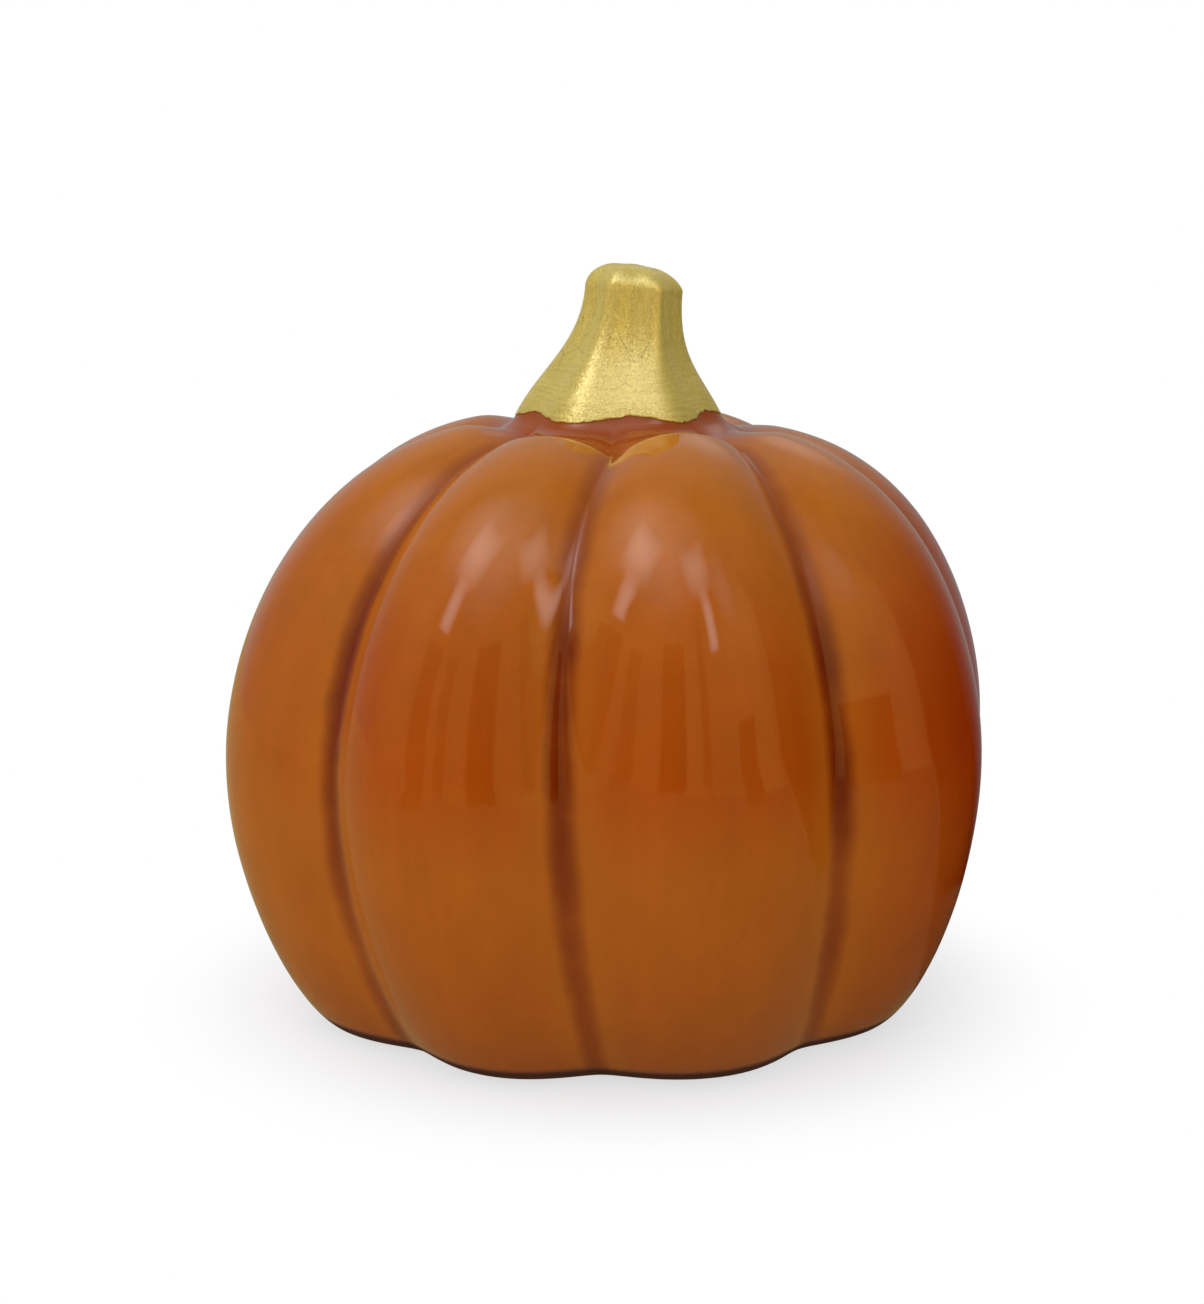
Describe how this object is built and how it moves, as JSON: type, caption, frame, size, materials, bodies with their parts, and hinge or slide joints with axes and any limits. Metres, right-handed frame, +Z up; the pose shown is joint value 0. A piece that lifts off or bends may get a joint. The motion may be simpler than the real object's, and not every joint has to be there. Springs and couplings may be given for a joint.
{
  "type": "ceramic pumpkin figure",
  "caption": "Hollow ribbed ceramic pumpkin with a glossy orange-brown glaze, a gold lacquered stem and small felt pads under its flat base.",
  "frame": {"origin": "on the standing plane, under the middle of the whole figure", "axes": "+Z up through the stem, -Y towards the figure's front, +X to the right of a viewer who looks along +Y"},
  "size_m": [0.1448, 0.146, 0.141],
  "materials": {
    "bisque": "unglazed fired earthenware, chalky off-white",
    "orange_glaze": "glossy orange-brown glaze, darker where it pools in the grooves",
    "gold_lacquer": "metallic gold lacquer, brushed on over the glaze",
    "felt": "dark brown self-adhesive felt"
  },
  "bodies": {
    "root": {"body_casting": "bisque", "orange_glaze": "orange_glaze", "gold_lacquer": "gold_lacquer", "felt_pad_front": "felt", "felt_pad_right": "felt", "felt_pad_back": "felt", "felt_pad_left": "felt"}
  },
  "joints": []
}
